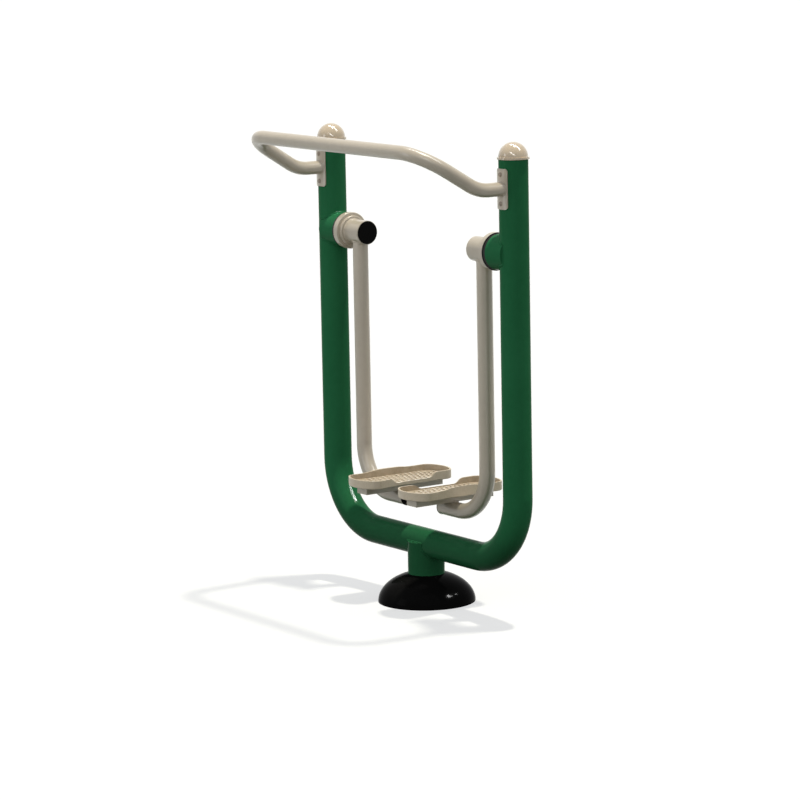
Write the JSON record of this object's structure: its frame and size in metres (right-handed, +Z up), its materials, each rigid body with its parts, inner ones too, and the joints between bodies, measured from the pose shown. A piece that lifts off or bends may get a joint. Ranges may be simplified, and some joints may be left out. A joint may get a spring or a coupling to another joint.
{
  "type": "outdoor air walker",
  "caption": "Free-standing outdoor air walker: bent tube frame on a short column, swinging arms with foot-shaped pedals and a handlebar in front.",
  "frame": {"origin": "on the ground, in the centre of the foot plate's underside, below the column's axis", "axes": "+Z up, +X to the right as seen from the handlebar side, -Y towards the handlebar, where the user faces"},
  "size_m": [1.0516, 0.5171, 1.4582],
  "materials": {
    "green_paint": "glossy dark green powder coat",
    "beige_paint": "satin warm beige powder coat",
    "pedal_casting": "cast, with the same beige powder coat",
    "beige_plastic": "moulded, glossy",
    "black_gloss_plastic": "moulded, high gloss",
    "black_matte_plastic": "fine grained",
    "seal_rubber": "matt",
    "bearing_steel": "ground",
    "screw_paint": "overpainted in the beige of the bar plates",
    "zinc_steel": "zinc plated"
  },
  "bodies": {
    "frame": {"base_flange": "green_paint", "base_gusset_1": "green_paint", "base_gusset_2": "green_paint", "base_gusset_3": "green_paint", "base_gusset_4": "green_paint", "column": "green_paint", "dome_cover": "black_gloss_plastic", "handlebar": "beige_paint", "left_axle_nut": "zinc_steel", "left_bar_plate": "beige_paint", "left_bar_screw_lower": "screw_paint", "left_bar_screw_upper": "screw_paint", "left_bearing_inner_back": "bearing_steel", "left_bearing_inner_front": "bearing_steel", "left_bearing_spacer": "bearing_steel", "left_hub_axle": "zinc_steel", "left_hub_seal": "seal_rubber", "left_hub_stub": "green_paint", "left_stop_pin": "zinc_steel", "left_tube_cap": "beige_plastic", "right_axle_nut": "zinc_steel", "right_bar_plate": "beige_paint", "right_bar_screw_lower": "screw_paint", "right_bar_screw_upper": "screw_paint", "right_bearing_inner_back": "bearing_steel", "right_bearing_inner_front": "bearing_steel", "right_bearing_spacer": "bearing_steel", "right_hub_axle": "zinc_steel", "right_hub_seal": "seal_rubber", "right_hub_stub": "green_paint", "right_stop_pin": "zinc_steel", "right_tube_cap": "beige_plastic", "u_frame": "green_paint"},
    "left_arm": {"left_arm_tube": "beige_paint", "left_bearing_outer_back": "bearing_steel", "left_bearing_outer_front": "bearing_steel", "left_hub_cap": "black_matte_plastic", "left_hub_sleeve": "beige_paint", "left_pedal": "pedal_casting", "left_pedal_bolt_1": "zinc_steel", "left_pedal_bolt_2": "zinc_steel", "left_pedal_bolt_3": "zinc_steel", "left_pedal_bolt_4": "zinc_steel", "left_pedal_bracket": "beige_paint"},
    "right_arm": {"right_arm_tube": "beige_paint", "right_bearing_outer_back": "bearing_steel", "right_bearing_outer_front": "bearing_steel", "right_hub_cap": "black_matte_plastic", "right_hub_sleeve": "beige_paint", "right_pedal": "pedal_casting", "right_pedal_bolt_1": "zinc_steel", "right_pedal_bolt_2": "zinc_steel", "right_pedal_bolt_3": "zinc_steel", "right_pedal_bolt_4": "zinc_steel", "right_pedal_bracket": "beige_paint"}
  },
  "joints": [
    {"name": "left_arm_swing", "type": "hinge", "parent": "frame", "child": "left_arm", "pos_m": [-0.34, 0, 1.1236], "axis": [1, 0, 0], "range_deg": [-50, 50]},
    {"name": "right_arm_swing", "type": "hinge", "parent": "frame", "child": "right_arm", "pos_m": [0.34, 0, 1.1236], "axis": [1, 0, 0], "range_deg": [-50, 50]}
  ]
}
